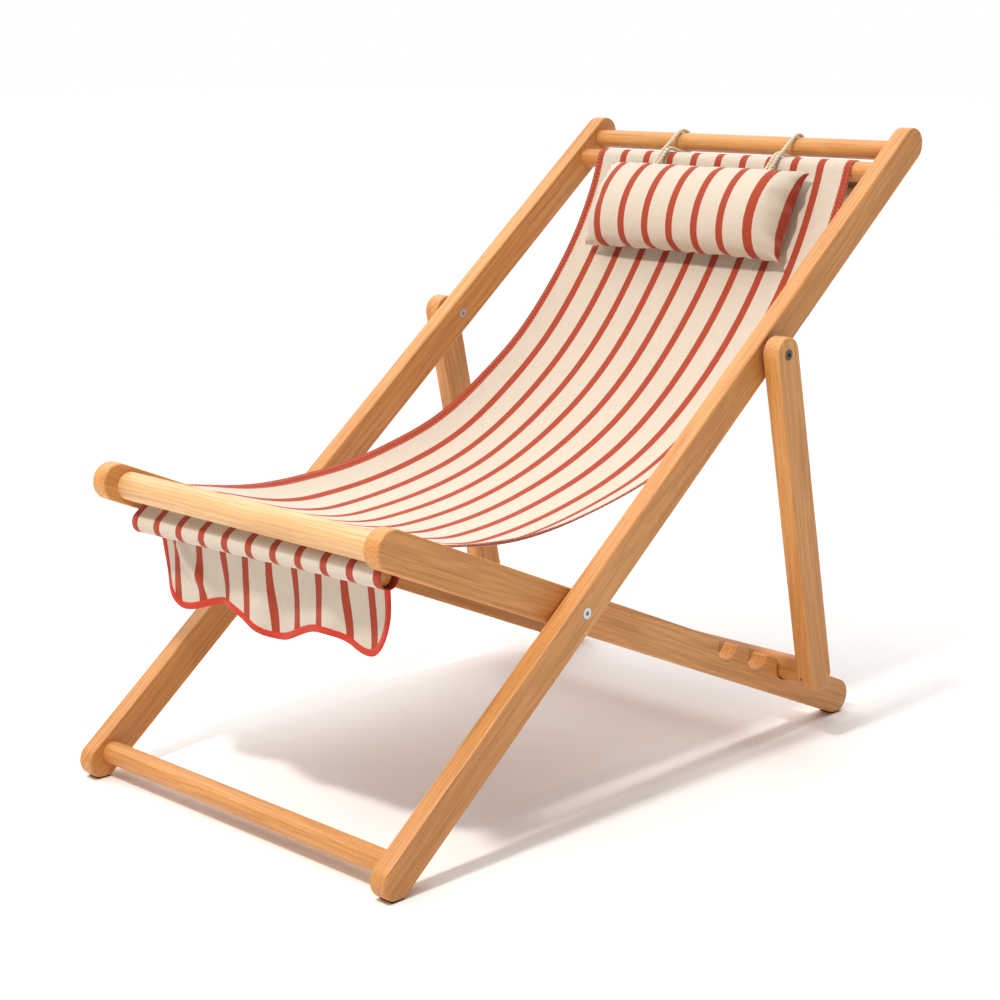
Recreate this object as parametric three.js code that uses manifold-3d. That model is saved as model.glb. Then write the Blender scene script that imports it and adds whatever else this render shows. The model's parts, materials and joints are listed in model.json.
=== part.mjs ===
// A folding wooden sling chair: an outer back frame, an inner seat frame, a prop frame behind,
// and a striped canvas sling with a scalloped valance and a hanging head pillow.
// Millimetres, +Z up, +Y towards the back of the chair, origin at the centre of the footprint.
import * as THREE from 'three';
import { mergeVertices } from 'three/addons/utils/BufferGeometryUtils.js';
import Module from 'manifold-3d';

const wasm = await Module();
wasm.setup();

// ---- driving dimensions ----------------------------------------------------------------------
const WIDTH_OVER_BACK_RAILS = 560;
const RAIL_THICKNESS = 24;
const EASED_EDGE = 2.5;

const BACK_RAIL_LENGTH = 1252;
const BACK_RAIL_WIDTH = 44;
const BACK_LEAN = 38.6;             // degrees above the ground
const SEAT_RAIL_LENGTH = 960;
const SEAT_RAIL_WIDTH = 47;
const PROP_LEG_WIDTH = 44;

const SEAT_PIVOT_FROM_FOOT = 383.5; // along the back rail, from the centre of its round foot
const SEAT_PIVOT_FROM_REAR = 609;   // along the seat rail, from the centre of its round rear end
const PROP_PIVOT_FROM_FOOT = 814;   // along the back rail, from the centre of its round foot

const NOTCH_COUNT = 3;
const NOTCH_CLEARANCE = 3.5;        // between the crossbar and the notch around it
const NOTCH_MOUTH = 4;              // from the rail's top edge down to the centre of the notch
const NOTCH_FLARE = 3;
const NOTCH_PITCH = 70;
const LAST_NOTCH_FROM_REAR = 144;

const TOP_RAIL_RADIUS = 13;
const TOP_RAIL_FROM_TOP = 13.5;     // from the centre of the back rail's round top
const SLING_BAR_RADIUS = 13.5;
const SLING_BAR_SPACING = 44;       // from each end rail of a frame to the sling bar beside it
const FRONT_BAR_RADIUS = 17.5;
const FRONT_BAR_FROM_FRONT = 15;    // from the centre of the seat rail's round front
const BOTTOM_RAIL_RADIUS = 14.5;
const BOTTOM_RAIL_FROM_FOOT = 14.5; // from the centre of the back rail's round foot
const CROSSBAR_RADIUS = 17;
const TENON_RADIUS = 8.5;
const TENON_LENGTH = 14;

const SEAT_GAP = 1.6;               // between the back rails and the seat rails
const PROP_GAP = 6;                 // between the back rails and the prop legs
const NUT_SLEEVE_RADIUS = 5;
const BOLT_SHANK_RADIUS = 3;
const HEAD_RADIUS = 7;
const HEAD_THICKNESS = 2.2;
const SOCKET_RADIUS = 2.9;
const SOCKET_DEPTH = 1.6;
const WASHER_RADIUS = 10;
const PIN_RADIUS = 1.5;
const PIN_TIP = 4;                  // how near the pin comes to the crossbar's centre line

const PAD_THICKNESS = 2.5;
const PAD_LENGTH = 17;
const PAD_WIDTH = 20;

const SLING_WIDTH = 444;
const CLOTH_THICKNESS = 2;
const SLEEVE_DOWEL_RADIUS = 12.5;
const SLEEVE_DOWEL_LENGTH = 432;
const FRONT_SLEEVE_CLEARANCE = 7;   // between the hanging front sleeve and the two front bars
const REAR_SLEEVE_DROP = 50;        // the rear sleeve hangs this far below the gap it comes from
const SLING_SLOPE_AT_FRONT = 11.6;  // degrees, falling away from the front bar
const SLING_SLOPE_AT_TOP = 72.9;    // degrees, rising to the top sling bar
const SLING_FULLNESS_AT_FRONT = 0.447; // curve handles, as shares of the span between the bars
const SLING_FULLNESS_AT_TOP = 0.31;

const VALANCE_WIDTH = 414;
const VALANCE_DROP = 93;            // from the front sleeve's centre to the middle of the waves
const SCALLOP_PITCH = 168;
const SCALLOP_HEIGHT = 14;          // half the height of a wave
const VALANCE_CORNER = 16;
const BINDING_WIDTH = 8;
const BINDING_THICKNESS = 4;

const PILLOW_WIDTH = 350;
const PILLOW_HEIGHT = 136;
const PILLOW_FRONT_DEPTH = 52;
const PILLOW_BACK_DEPTH = 18;
const PILLOW_SQUARENESS = 4;        // 2 would be an ellipse; higher fills the corners
const PILLOW_ALONG_SLING = 0.903;   // parameter of the sling curve at the pillow's centre
const PILLOW_OFF_CENTRE = 0;
const LOOP_ROPE_RADIUS = 3;
const LOOP_OFFSET = 98.5;           // from the middle of the chair
const LOOP_STRAND_SPACING = 6.8;
const LOOP_STEPS = 60;

const GAP = 0.3;                    // between pieces that touch
const ROUND_SEGMENTS = 28;
const SMALL_SEGMENTS = 20;
const ARC_POINTS = 14;

// ---- materials -------------------------------------------------------------------------------
const surface = (color, roughness, metalness = 0) =>
  new THREE.MeshStandardMaterial({ color, roughness, metalness });
const TEAK = surface(0xc98f4e, 0.55);
const PALE_TEAK = surface(0xe3bd88, 0.55);
const CANVAS = surface(0xeae0d0, 0.9);
const BINDING = surface(0xd24426, 0.85);
const ROPE = surface(0xe9e2d2, 0.9);
const STEEL = surface(0xb9babb, 0.3, 1);
const RUBBER = surface(0x1d1c1b, 0.8);

// ---- side view: every place along Y and Z ----------------------------------------------------
const radians = THREE.MathUtils.degToRad;
const point = (y, z) => new THREE.Vector2(y, z);
const along = (degrees) => point(Math.cos(radians(degrees)), Math.sin(radians(degrees)));
const step = (from, direction, distance) => from.clone().addScaledVector(direction, distance);

const backCentres = BACK_RAIL_LENGTH - BACK_RAIL_WIDTH;
const seatCentres = SEAT_RAIL_LENGTH - SEAT_RAIL_WIDTH;
const seatPivotFromFront = seatCentres - SEAT_PIVOT_FROM_REAR;

const backDirection = along(BACK_LEAN);
const pivotRise = BACK_RAIL_WIDTH / 2 + SEAT_PIVOT_FROM_FOOT * backDirection.y;
const seatSlope = THREE.MathUtils.radToDeg(
  Math.asin((pivotRise - SEAT_RAIL_WIDTH / 2) / SEAT_PIVOT_FROM_REAR));
const seatDirection = along(-seatSlope);   // from the front of the seat to its rear

// The front foot starts at zero; the footprint is then centred on the origin.
const footAtZero = point(0, BACK_RAIL_WIDTH / 2);
const rearReach = Math.max(
  backCentres * backDirection.x + BACK_RAIL_WIDTH / 2,
  SEAT_PIVOT_FROM_FOOT * backDirection.x + SEAT_PIVOT_FROM_REAR * seatDirection.x + SEAT_RAIL_WIDTH / 2);
const frontReach = Math.min(
  -BACK_RAIL_WIDTH / 2,
  SEAT_PIVOT_FROM_FOOT * backDirection.x - seatPivotFromFront * seatDirection.x - SEAT_RAIL_WIDTH / 2);
const foot = step(footAtZero, point(1, 0), -(rearReach + frontReach) / 2);
const seatPivot = step(foot, backDirection, SEAT_PIVOT_FROM_FOOT);
const propPivot = step(foot, backDirection, PROP_PIVOT_FROM_FOOT);
const seatFront = step(seatPivot, seatDirection, -seatPivotFromFront);

// The crossbar hangs from the prop pivot into the last notch and rests against its wall.
const seatNormal = along(90 - seatSlope);
const lastNotch = seatCentres - LAST_NOTCH_FROM_REAR;
const notchRadius = CROSSBAR_RADIUS + NOTCH_CLEARANCE;
const notchCentreHeight = SEAT_RAIL_WIDTH / 2 - NOTCH_MOUTH;
const notchCentre = step(step(seatFront, seatDirection, lastNotch), seatNormal, notchCentreHeight);
const toNotch = notchCentre.clone().sub(propPivot);
const propLength = toNotch.length() + NOTCH_CLEARANCE - GAP;
const propAngle = THREE.MathUtils.radToDeg(Math.atan2(toNotch.y, toNotch.x));

const topRailAt = backCentres - TOP_RAIL_FROM_TOP;
const topSlingBarAt = topRailAt - SLING_BAR_SPACING;
const topSlingBar = step(foot, backDirection, topSlingBarAt);
const frontSlingBarAt = FRONT_BAR_FROM_FRONT + SLING_BAR_SPACING;
const frontSlingBar = step(seatFront, seatDirection, frontSlingBarAt);

// ---- across the chair: every place along X ---------------------------------------------------
const backOuter = WIDTH_OVER_BACK_RAILS / 2;
const backInner = backOuter - RAIL_THICKNESS;
const seatOuter = backInner - SEAT_GAP;
const seatInner = seatOuter - RAIL_THICKNESS;
const propInner = backOuter + PROP_GAP;
const propOuter = propInner + RAIL_THICKNESS;

// ---- solids ----------------------------------------------------------------------------------
// Merge the shared vertices of a geometry and drop triangles that have no area.
function closed(geometry) {
  const bare = geometry.clone();
  for (const name of Object.keys(bare.attributes)) {
    if (name !== 'position') bare.deleteAttribute(name);
  }
  const merged = mergeVertices(bare, 1e-3);
  const kept = [];
  const index = merged.index.array;
  for (let i = 0; i < index.length; i += 3) {
    const [a, b, c] = [index[i], index[i + 1], index[i + 2]];
    if (a !== b && b !== c && c !== a) kept.push(a, b, c);
  }
  merged.setIndex(kept);
  return merged;
}

function toSolid(geometry) {
  const { attributes, index } = closed(geometry);
  return new wasm.Manifold(new wasm.Mesh({
    numProp: 3,
    vertProperties: new Float32Array(attributes.position.array),
    triVerts: new Uint32Array(index.array),
  }));
}

function toGeometry(solid) {
  const mesh = solid.getMesh();
  const geometry = new THREE.BufferGeometry();
  geometry.setAttribute('position', new THREE.BufferAttribute(mesh.vertProperties, 3));
  geometry.setIndex(new THREE.BufferAttribute(mesh.triVerts, 1));
  return geometry;
}

const cutFrom = (geometry, cutters) =>
  toGeometry(cutters.reduce((solid, cutter) => solid.subtract(toSolid(cutter)), toSolid(geometry)));

// A shape drawn in the side view (Y across the page, Z up it), extruded along X.
const SIDE_VIEW = new THREE.Matrix4().makeBasis(
  new THREE.Vector3(0, 1, 0), new THREE.Vector3(0, 0, 1), new THREE.Vector3(1, 0, 0));

function plate(shape, xFrom, xTo, easedEdge = 0) {
  const geometry = new THREE.ExtrudeGeometry(shape, {
    depth: xTo - xFrom - 2 * easedEdge,
    bevelEnabled: easedEdge > 0,
    bevelThickness: easedEdge,
    bevelSize: easedEdge,
    bevelOffset: -easedEdge,
    bevelSegments: 2,
    curveSegments: ARC_POINTS,
  });
  return geometry.translate(0, 0, xFrom + easedEdge).applyMatrix4(SIDE_VIEW);
}

// A round piece turned about X. The profile lists [x, radius] pairs from one end to the other.
function turned(profile, segments = ROUND_SEGMENTS) {
  const outline = profile.map(([x, radius]) => point(radius, x));
  return new THREE.LatheGeometry(outline, segments).rotateZ(-Math.PI / 2);
}

const rod = (xFrom, xTo, radius, segments = SMALL_SEGMENTS) =>
  turned([[xFrom, 0], [xFrom, radius], [xTo, radius], [xTo, 0]], segments);

// A rod along X at a place in the side view.
const rodAt = (y, z, xFrom, xTo, radius, segments = SMALL_SEGMENTS) =>
  rod(xFrom, xTo, radius, segments).translate(0, y, z);

// A strip of cloth of even thickness that follows a line in the side view.
function clothShape(line, thickness = CLOTH_THICKNESS) {
  const offset = (distance) => line.map((place, i) => {
    const before = line[Math.max(i - 1, 0)];
    const after = line[Math.min(i + 1, line.length - 1)];
    const normal = after.clone().sub(before).normalize().rotateAround(point(0, 0), Math.PI / 2);
    return step(place, normal, distance);
  });
  return new THREE.Shape([...offset(-thickness / 2), ...offset(thickness / 2).reverse()]);
}

function arcPoints(centre, radius, fromDegrees, toDegrees, count = ARC_POINTS) {
  return Array.from({ length: count + 1 }, (_, i) =>
    step(centre, along(fromDegrees + (toDegrees - fromDegrees) * i / count), radius));
}

// ---- frames ----------------------------------------------------------------------------------
// In each frame's own axes, Y runs along its rails and Z is square to them.
function frameGroup(origin, degrees) {
  const group = new THREE.Group();
  group.position.set(0, origin.x, origin.y);
  group.rotation.x = radians(degrees);
  group.updateMatrixWorld();
  return group;
}

const chair = new THREE.Group();
const backFrame = frameGroup(foot, BACK_LEAN);
const seatFrame = frameGroup(seatFront, -seatSlope);
const propFrame = frameGroup(propPivot, propAngle);
const cloth = new THREE.Group();
chair.add(backFrame, seatFrame, propFrame, cloth);

function addPiece(group, name, geometry, material, x = 0, y = 0, z = 0) {
  const mesh = new THREE.Mesh(closed(geometry), material);
  mesh.name = name;
  mesh.position.set(x, y, z);
  group.add(mesh);
  return mesh;
}

const SIDES = [['left', -1], ['right', 1]];
const onSide = (geometry, side) => (side < 0 ? mirrored(geometry) : geometry);

// The left-hand copy of a right-hand piece.
function mirrored(geometry) {
  const copy = closed(geometry).scale(-1, 1, 1);
  copy.setIndex(Array.from(copy.index.array).reverse());
  return copy;
}

// Everything below the top of the ground pads, in a frame's own axes.
function underPads(group) {
  const size = 2 * BACK_RAIL_LENGTH;
  const slab = new THREE.BoxGeometry(size, size, size).translate(0, 0, PAD_THICKNESS - size / 2);
  return slab.applyMatrix4(group.matrixWorld.clone().invert());
}

// A straight rail with round ends; it starts at the centre of its first round end.
function railShape(centres, width) {
  const shape = new THREE.Shape();
  shape.absarc(centres, 0, width / 2, -Math.PI / 2, Math.PI / 2, false);
  shape.absarc(0, 0, width / 2, Math.PI / 2, 3 * Math.PI / 2, false);
  shape.closePath();
  return shape;
}

const socket = (y, innerFace) =>
  rodAt(y, 0, innerFace - 1, innerFace + TENON_LENGTH + GAP, TENON_RADIUS + GAP);

const bore = (y, xFrom, xTo) =>
  rodAt(y, 0, xFrom - 1, xTo + 1, NUT_SLEEVE_RADIUS + GAP);

// A recess for a bolt's or nut's head in the face at x; outward is +1 or -1 along X.
function headRecess(y, x, outward) {
  const ends = [x - outward * (HEAD_THICKNESS + GAP), x + outward];
  return rodAt(y, 0, Math.min(...ends), Math.max(...ends), HEAD_RADIUS + GAP);
}

// A round bar between two rails, with a tenon at each end.
function tenonedBar(innerFace, radius) {
  const shoulder = innerFace - GAP;
  const tip = innerFace + TENON_LENGTH - GAP;
  return turned([[-tip, 0], [-tip, TENON_RADIUS], [-shoulder, TENON_RADIUS], [-shoulder, radius],
    [shoulder, radius], [shoulder, TENON_RADIUS], [tip, TENON_RADIUS], [tip, 0]]);
}

// ---- back frame ------------------------------------------------------------------------------
function backRail() {
  return cutFrom(plate(railShape(backCentres, BACK_RAIL_WIDTH), backInner, backOuter, EASED_EDGE), [
    underPads(backFrame),
    socket(topRailAt, backInner),
    socket(topSlingBarAt, backInner),
    socket(BOTTOM_RAIL_FROM_FOOT, backInner),
    bore(SEAT_PIVOT_FROM_FOOT, backInner, backOuter),
    headRecess(SEAT_PIVOT_FROM_FOOT, backOuter, 1),
    bore(PROP_PIVOT_FROM_FOOT, backInner, backOuter),
    headRecess(PROP_PIVOT_FROM_FOOT, backInner, -1),
  ]);
}

function addBackFrame() {
  for (const [name, side] of SIDES) {
    addPiece(backFrame, `back_rail_${name}`, onSide(backRail(), side), TEAK);
  }
  addPiece(backFrame, 'top_rail', tenonedBar(backInner, TOP_RAIL_RADIUS), TEAK, 0, topRailAt);
  addPiece(backFrame, 'top_sling_bar', tenonedBar(backInner, SLING_BAR_RADIUS), TEAK, 0, topSlingBarAt);
  addPiece(backFrame, 'bottom_rail', tenonedBar(backInner, BOTTOM_RAIL_RADIUS), TEAK, 0,
    BOTTOM_RAIL_FROM_FOOT);
}

// ---- seat frame ------------------------------------------------------------------------------
function seatRailShape() {
  const top = SEAT_RAIL_WIDTH / 2;
  const wallTop = top - NOTCH_FLARE;
  const shape = new THREE.Shape();
  shape.absarc(seatCentres, 0, top, -Math.PI / 2, Math.PI / 2, false);
  for (let i = 0; i < NOTCH_COUNT; i += 1) {
    const centre = lastNotch - i * NOTCH_PITCH;
    shape.lineTo(centre + notchRadius + NOTCH_FLARE, top);
    shape.lineTo(centre + notchRadius, wallTop);
    shape.absarc(centre, notchCentreHeight, notchRadius, 0, -Math.PI, true);
    shape.lineTo(centre - notchRadius, wallTop);
    shape.lineTo(centre - notchRadius - NOTCH_FLARE, top);
  }
  shape.absarc(0, 0, top, Math.PI / 2, 3 * Math.PI / 2, false);
  shape.closePath();
  return shape;
}

function seatRail() {
  return cutFrom(plate(seatRailShape(), seatInner, seatOuter, EASED_EDGE), [
    underPads(seatFrame),
    socket(FRONT_BAR_FROM_FRONT, seatInner),
    socket(frontSlingBarAt, seatInner),
    bore(seatPivotFromFront, seatInner, seatOuter),
    headRecess(seatPivotFromFront, seatInner, -1),
  ]);
}

function addSeatFrame() {
  for (const [name, side] of SIDES) {
    addPiece(seatFrame, `seat_rail_${name}`, onSide(seatRail(), side), TEAK);
  }
  addPiece(seatFrame, 'front_bar', tenonedBar(seatInner, FRONT_BAR_RADIUS), PALE_TEAK, 0,
    FRONT_BAR_FROM_FRONT);
  addPiece(seatFrame, 'front_sling_bar', tenonedBar(seatInner, SLING_BAR_RADIUS), TEAK, 0,
    frontSlingBarAt);
}

// ---- prop frame ------------------------------------------------------------------------------
function propLeg() {
  return cutFrom(plate(railShape(propLength, PROP_LEG_WIDTH), propInner, propOuter, EASED_EDGE), [
    bore(0, propInner, propOuter),
    headRecess(0, propOuter, 1),
    socket(propLength, propInner),
    pinThroughFront(PIN_RADIUS + GAP, PROP_LEG_WIDTH / 2 + 1, 0),
  ]);
}

// A pin square to the leg's front face, from one depth behind the crossbar's centre to another.
function pinThroughFront(radius, from, to) {
  return new THREE.CylinderGeometry(radius, radius, from - to, SMALL_SEGMENTS)
    .rotateX(Math.PI / 2)
    .translate(propInner + TENON_LENGTH / 2, propLength, -(from + to) / 2);
}

// The crossbar's tenons are notched on their front for the pins that lock them.
function crossbar() {
  const notch = pinThroughFront(PIN_RADIUS + GAP, CROSSBAR_RADIUS, PIN_TIP - GAP);
  const bar = tenonedBar(propInner, CROSSBAR_RADIUS).translate(0, propLength, 0);
  return cutFrom(bar, SIDES.map(([, side]) => onSide(notch, side)));
}

function addPropFrame() {
  const pin = pinThroughFront(PIN_RADIUS, PROP_LEG_WIDTH / 2, PIN_TIP);
  for (const [name, side] of SIDES) {
    addPiece(propFrame, `prop_leg_${name}`, onSide(propLeg(), side), TEAK);
    addPiece(propFrame, `crossbar_pin_${name}`, onSide(pin, side), STEEL);
  }
  addPiece(propFrame, 'prop_crossbar', crossbar(), TEAK);
}

// ---- pivots ----------------------------------------------------------------------------------
// Each pivot is a socket-headed bolt in a sleeve nut; the sleeve is the pin that the rails turn on.
// boltFace and nutFace are the X of the faces their heads are let into.
function pivotBolt(boltFace, nutFace) {
  const inward = Math.sign(nutFace - boltFace);
  const head = boltFace - inward * GAP;
  const shoulder = head + inward * HEAD_THICKNESS;
  const tip = nutFace - inward * (HEAD_THICKNESS + SOCKET_DEPTH + 2);
  const bolt = turned([[head, 0], [head, HEAD_RADIUS], [shoulder, HEAD_RADIUS],
    [shoulder, BOLT_SHANK_RADIUS], [tip, BOLT_SHANK_RADIUS], [tip, 0]], SMALL_SEGMENTS);
  return withHexSocket(bolt, head, inward);
}

function pivotNut(boltFace, nutFace) {
  const inward = Math.sign(boltFace - nutFace);
  const head = nutFace - inward * GAP;
  const shoulder = head + inward * HEAD_THICKNESS;
  const floor = shoulder + inward * (SOCKET_DEPTH + GAP);
  const tip = boltFace + inward * -(HEAD_THICKNESS + 2 * GAP);
  const hollow = BOLT_SHANK_RADIUS + GAP;
  const nut = turned([[head, 0], [head, HEAD_RADIUS], [shoulder, HEAD_RADIUS],
    [shoulder, NUT_SLEEVE_RADIUS], [tip, NUT_SLEEVE_RADIUS], [tip, hollow], [floor, hollow], [floor, 0]],
  SMALL_SEGMENTS);
  return withHexSocket(nut, head, inward);
}

// A turned piece whose profile runs towards -X comes out inside out, so it is turned about.
function withHexSocket(geometry, face, inward) {
  const piece = closed(geometry);
  if (inward < 0) piece.setIndex(Array.from(piece.index.array).reverse());
  const hexagon = rod(Math.min(face - inward, face + inward * SOCKET_DEPTH),
    Math.max(face - inward, face + inward * SOCKET_DEPTH), SOCKET_RADIUS, 6);
  return cutFrom(piece, [hexagon]);
}

// The washer fills the gap between the two rails, halfway between the pivot's faces.
function washer(boltFace, nutFace, gap) {
  const inner = NUT_SLEEVE_RADIUS + GAP;
  const middle = (boltFace + nutFace) / 2;
  const [start, end] = [middle - gap / 2 + GAP, middle + gap / 2 - GAP];
  return turned([[start, inner], [start, WASHER_RADIUS], [end, WASHER_RADIUS], [end, inner],
    [start, inner]]);
}

function addPivots() {
  const pivots = [
    { kind: 'seat', at: SEAT_PIVOT_FROM_FOOT, bolt: backOuter, nut: seatInner, gap: SEAT_GAP },
    { kind: 'prop', at: PROP_PIVOT_FROM_FOOT, bolt: backInner, nut: propOuter, gap: PROP_GAP },
  ];
  for (const { kind, at, bolt, nut, gap } of pivots) {
    for (const [name, side] of SIDES) {
      const put = (piece, geometry) =>
        addPiece(backFrame, `${kind}_${piece}_${name}`, onSide(geometry, side), STEEL, 0, at);
      put('pivot_bolt', pivotBolt(bolt, nut));
      put('pivot_nut', pivotNut(bolt, nut));
      put('pivot_washer', washer(bolt, nut, gap));
    }
  }
}

// ---- ground pads -----------------------------------------------------------------------------
function addPads() {
  const rear = step(seatPivot, seatDirection, SEAT_PIVOT_FROM_REAR);
  const thickness = PAD_THICKNESS - GAP;
  const pads = [['front', foot, (backInner + backOuter) / 2], ['rear', rear, (seatInner + seatOuter) / 2]];
  for (const [end, centre, x] of pads) {
    for (const [name, side] of SIDES) {
      const pad = new THREE.BoxGeometry(PAD_WIDTH, PAD_LENGTH, thickness);
      addPiece(chair, `ground_pad_${end}_${name}`, pad, RUBBER, side * x, centre.x, thickness / 2);
    }
  }
}

// ---- sling -----------------------------------------------------------------------------------
const wrap = GAP + CLOTH_THICKNESS / 2;       // from a bar's surface to the middle of the cloth
const wrapRadius = SLING_BAR_RADIUS + wrap;
const frontGapAt = FRONT_BAR_FROM_FRONT + (FRONT_BAR_RADIUS + SLING_BAR_SPACING - SLING_BAR_RADIUS) / 2;
const topGapAt = topSlingBarAt + (SLING_BAR_RADIUS + SLING_BAR_SPACING - TOP_RAIL_RADIUS) / 2;
const slingStart = step(frontSlingBar, along(90 - SLING_SLOPE_AT_FRONT), wrapRadius);
const slingEnd = step(topSlingBar, along(90 + SLING_SLOPE_AT_TOP), wrapRadius);
const slingSpan = slingStart.distanceTo(slingEnd);
const slingCurve = new THREE.CubicBezierCurve(
  slingStart,
  step(slingStart, along(-SLING_SLOPE_AT_FRONT), slingSpan * SLING_FULLNESS_AT_FRONT),
  step(slingEnd, along(SLING_SLOPE_AT_TOP), -slingSpan * SLING_FULLNESS_AT_TOP),
  slingEnd);
const FRONT_GAP_ANGLE = 180 - seatSlope;      // from the sling bar towards the front bar
const CLOTH_JOIN = 2;                         // degrees of bar between two lengths of cloth
const SLEEVE_OPEN_DEGREES = 38;               // left open between a sleeve's end and its start

const frontSleeveCentre = step(
  step(seatFront, seatDirection, frontGapAt), seatNormal,
  -Math.sqrt((FRONT_BAR_RADIUS + FRONT_SLEEVE_CLEARANCE + sleeveRadius()) ** 2
    - (frontGapAt - FRONT_BAR_FROM_FRONT) ** 2));
const topGap = step(foot, backDirection, topGapAt);
const rearSleeveCentre = step(topGap, point(0, -1), REAR_SLEEVE_DROP);

function sleeveRadius() {
  return SLEEVE_DOWEL_RADIUS + GAP + CLOTH_THICKNESS;
}

function addSling() {
  const line = [
    ...arcPoints(frontSlingBar, wrapRadius, FRONT_GAP_ANGLE - CLOTH_JOIN, 90 - SLING_SLOPE_AT_FRONT, 6),
    ...slingCurve.getPoints(40).slice(1, -1),
    ...arcPoints(topSlingBar, wrapRadius, 90 + SLING_SLOPE_AT_TOP, BACK_LEAN + CLOTH_JOIN, 10),
  ];
  const sheet = plate(clothShape(line), -SLING_WIDTH / 2, SLING_WIDTH / 2);
  addPiece(cloth, 'sling', sheet, CANVAS);
}

// A sleeve is one length of cloth: down from a bar, round its dowel and back up to itself.
// turn is +1 when it goes round the dowel from the front to the back, as seen from the right.
function sleeve(from, centre, turn) {
  const radius = SLEEVE_DOWEL_RADIUS + wrap;
  const last = from[from.length - 1];
  const toBar = last.clone().sub(centre);
  const touching = toBar.angle() + turn * Math.acos(radius / toBar.length());
  const first = THREE.MathUtils.radToDeg(touching);
  const side = step(centre, along(first), radius);
  const straight = [0.33, 0.66].map((share) => last.clone().lerp(side, share));
  const sweep = 360 - SLEEVE_OPEN_DEGREES;
  const line = [...from, ...straight, ...arcPoints(centre, radius, first, first + turn * sweep, 20)];
  return plate(clothShape(line), -SLING_WIDTH / 2, SLING_WIDTH / 2);
}

function dowel(centre, name) {
  const half = SLEEVE_DOWEL_LENGTH / 2;
  addPiece(cloth, name, rod(-half, half, SLEEVE_DOWEL_RADIUS, ROUND_SEGMENTS), TEAK, 0, centre.x, centre.y);
}

function addSleeves() {
  const frontStart = arcPoints(frontSlingBar, wrapRadius,
    FRONT_GAP_ANGLE + CLOTH_JOIN, FRONT_GAP_ANGLE + 7 * CLOTH_JOIN, 2);
  addPiece(cloth, 'front_sleeve', sleeve(frontStart, frontSleeveCentre, 1), CANVAS);
  dowel(frontSleeveCentre, 'front_sleeve_dowel');
  const rearStart = arcPoints(topSlingBar, wrapRadius, BACK_LEAN - CLOTH_JOIN, 0, 5);
  addPiece(cloth, 'rear_sleeve', sleeve(rearStart, rearSleeveCentre, -1), CANVAS);
  dowel(rearSleeveCentre, 'rear_sleeve_dowel');
}

// ---- valance ---------------------------------------------------------------------------------
// The hem line, seen from the front (X across, Z up), from one bottom corner to the other.
function hemLine(inset) {
  const half = VALANCE_WIDTH / 2 - inset;
  const bottom = frontSleeveCentre.y - VALANCE_DROP + inset;
  const wave = (x) => bottom - SCALLOP_HEIGHT * Math.cos(2 * Math.PI * x / SCALLOP_PITCH);
  const corner = VALANCE_CORNER - inset;
  const steps = 48;
  const line = [];
  for (let i = 0; i <= steps; i += 1) {
    const x = (half - corner) * (2 * i / steps - 1);
    line.push(point(x, wave(x)));
  }
  const rounded = (sign) => {
    const centre = point(half - corner, wave(half - corner) + corner);
    return [60, 30, 0]
      .map((degrees) => step(centre, along(-degrees), corner))
      .map((place) => point(sign * place.x, place.y));
  };
  return [...rounded(-1).reverse(), ...line, ...rounded(1)];
}

// Extrude a front-view shape along Y, centred on a plane.
function hanging(shape, y, thickness) {
  const geometry = new THREE.ExtrudeGeometry(shape, { depth: thickness, bevelEnabled: false });
  return geometry.rotateX(Math.PI / 2).translate(0, y + thickness / 2, 0);
}

function addValance() {
  const top = frontSleeveCentre.y;
  const plane = frontSleeveCentre.x + sleeveRadius() + GAP + BINDING_THICKNESS / 2;
  const inner = hemLine(BINDING_WIDTH + GAP);
  const outer = hemLine(0);
  const edge = hemLine(BINDING_WIDTH);
  const panel = new THREE.Shape([
    point(inner[0].x, top), ...inner, point(inner[inner.length - 1].x, top)]);
  const tape = new THREE.Shape([
    point(outer[0].x, top), ...outer, point(outer[outer.length - 1].x, top),
    point(edge[edge.length - 1].x, top), ...edge.reverse(), point(edge[edge.length - 1].x, top)]);
  addPiece(cloth, 'valance', hanging(panel, plane, CLOTH_THICKNESS), CANVAS);
  addPiece(cloth, 'valance_binding', hanging(tape, plane, BINDING_THICKNESS), BINDING);
}

// ---- pillow and its loops --------------------------------------------------------------------
// The pillow is drawn lying on its back: seam at zero, full side up, flatter side on the sling.
const pillowSlope = slingCurve.getTangent(PILLOW_ALONG_SLING).angle();
const pillowUp = along(THREE.MathUtils.radToDeg(pillowSlope));
const pillowSeam = step(
  slingCurve.getPoint(PILLOW_ALONG_SLING),
  along(THREE.MathUtils.radToDeg(pillowSlope) + 90),
  PILLOW_BACK_DEPTH + CLOTH_THICKNESS / 2 + 2 * GAP);

function addPillow() {
  const half = PILLOW_WIDTH / 2;
  const profile = Array.from({ length: 2 * ARC_POINTS + 1 }, (_, i) => {
    const x = -half * Math.cos(Math.PI * i / (2 * ARC_POINTS));
    const share = (1 - Math.abs(x / half) ** PILLOW_SQUARENESS) ** (1 / PILLOW_SQUARENESS);
    return [x, share * PILLOW_HEIGHT / 2];
  });
  const pillow = turned(profile);
  const { position } = pillow.attributes;
  for (let i = 0; i < position.count; i += 1) {
    const share = position.getZ(i) / (PILLOW_HEIGHT / 2);
    position.setZ(i, share * (share > 0 ? PILLOW_FRONT_DEPTH : PILLOW_BACK_DEPTH));
  }
  pillow.rotateX(pillowSlope);
  addPiece(cloth, 'pillow', pillow, CANVAS, PILLOW_OFF_CENTRE, pillowSeam.x, pillowSeam.y);
}

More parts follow.
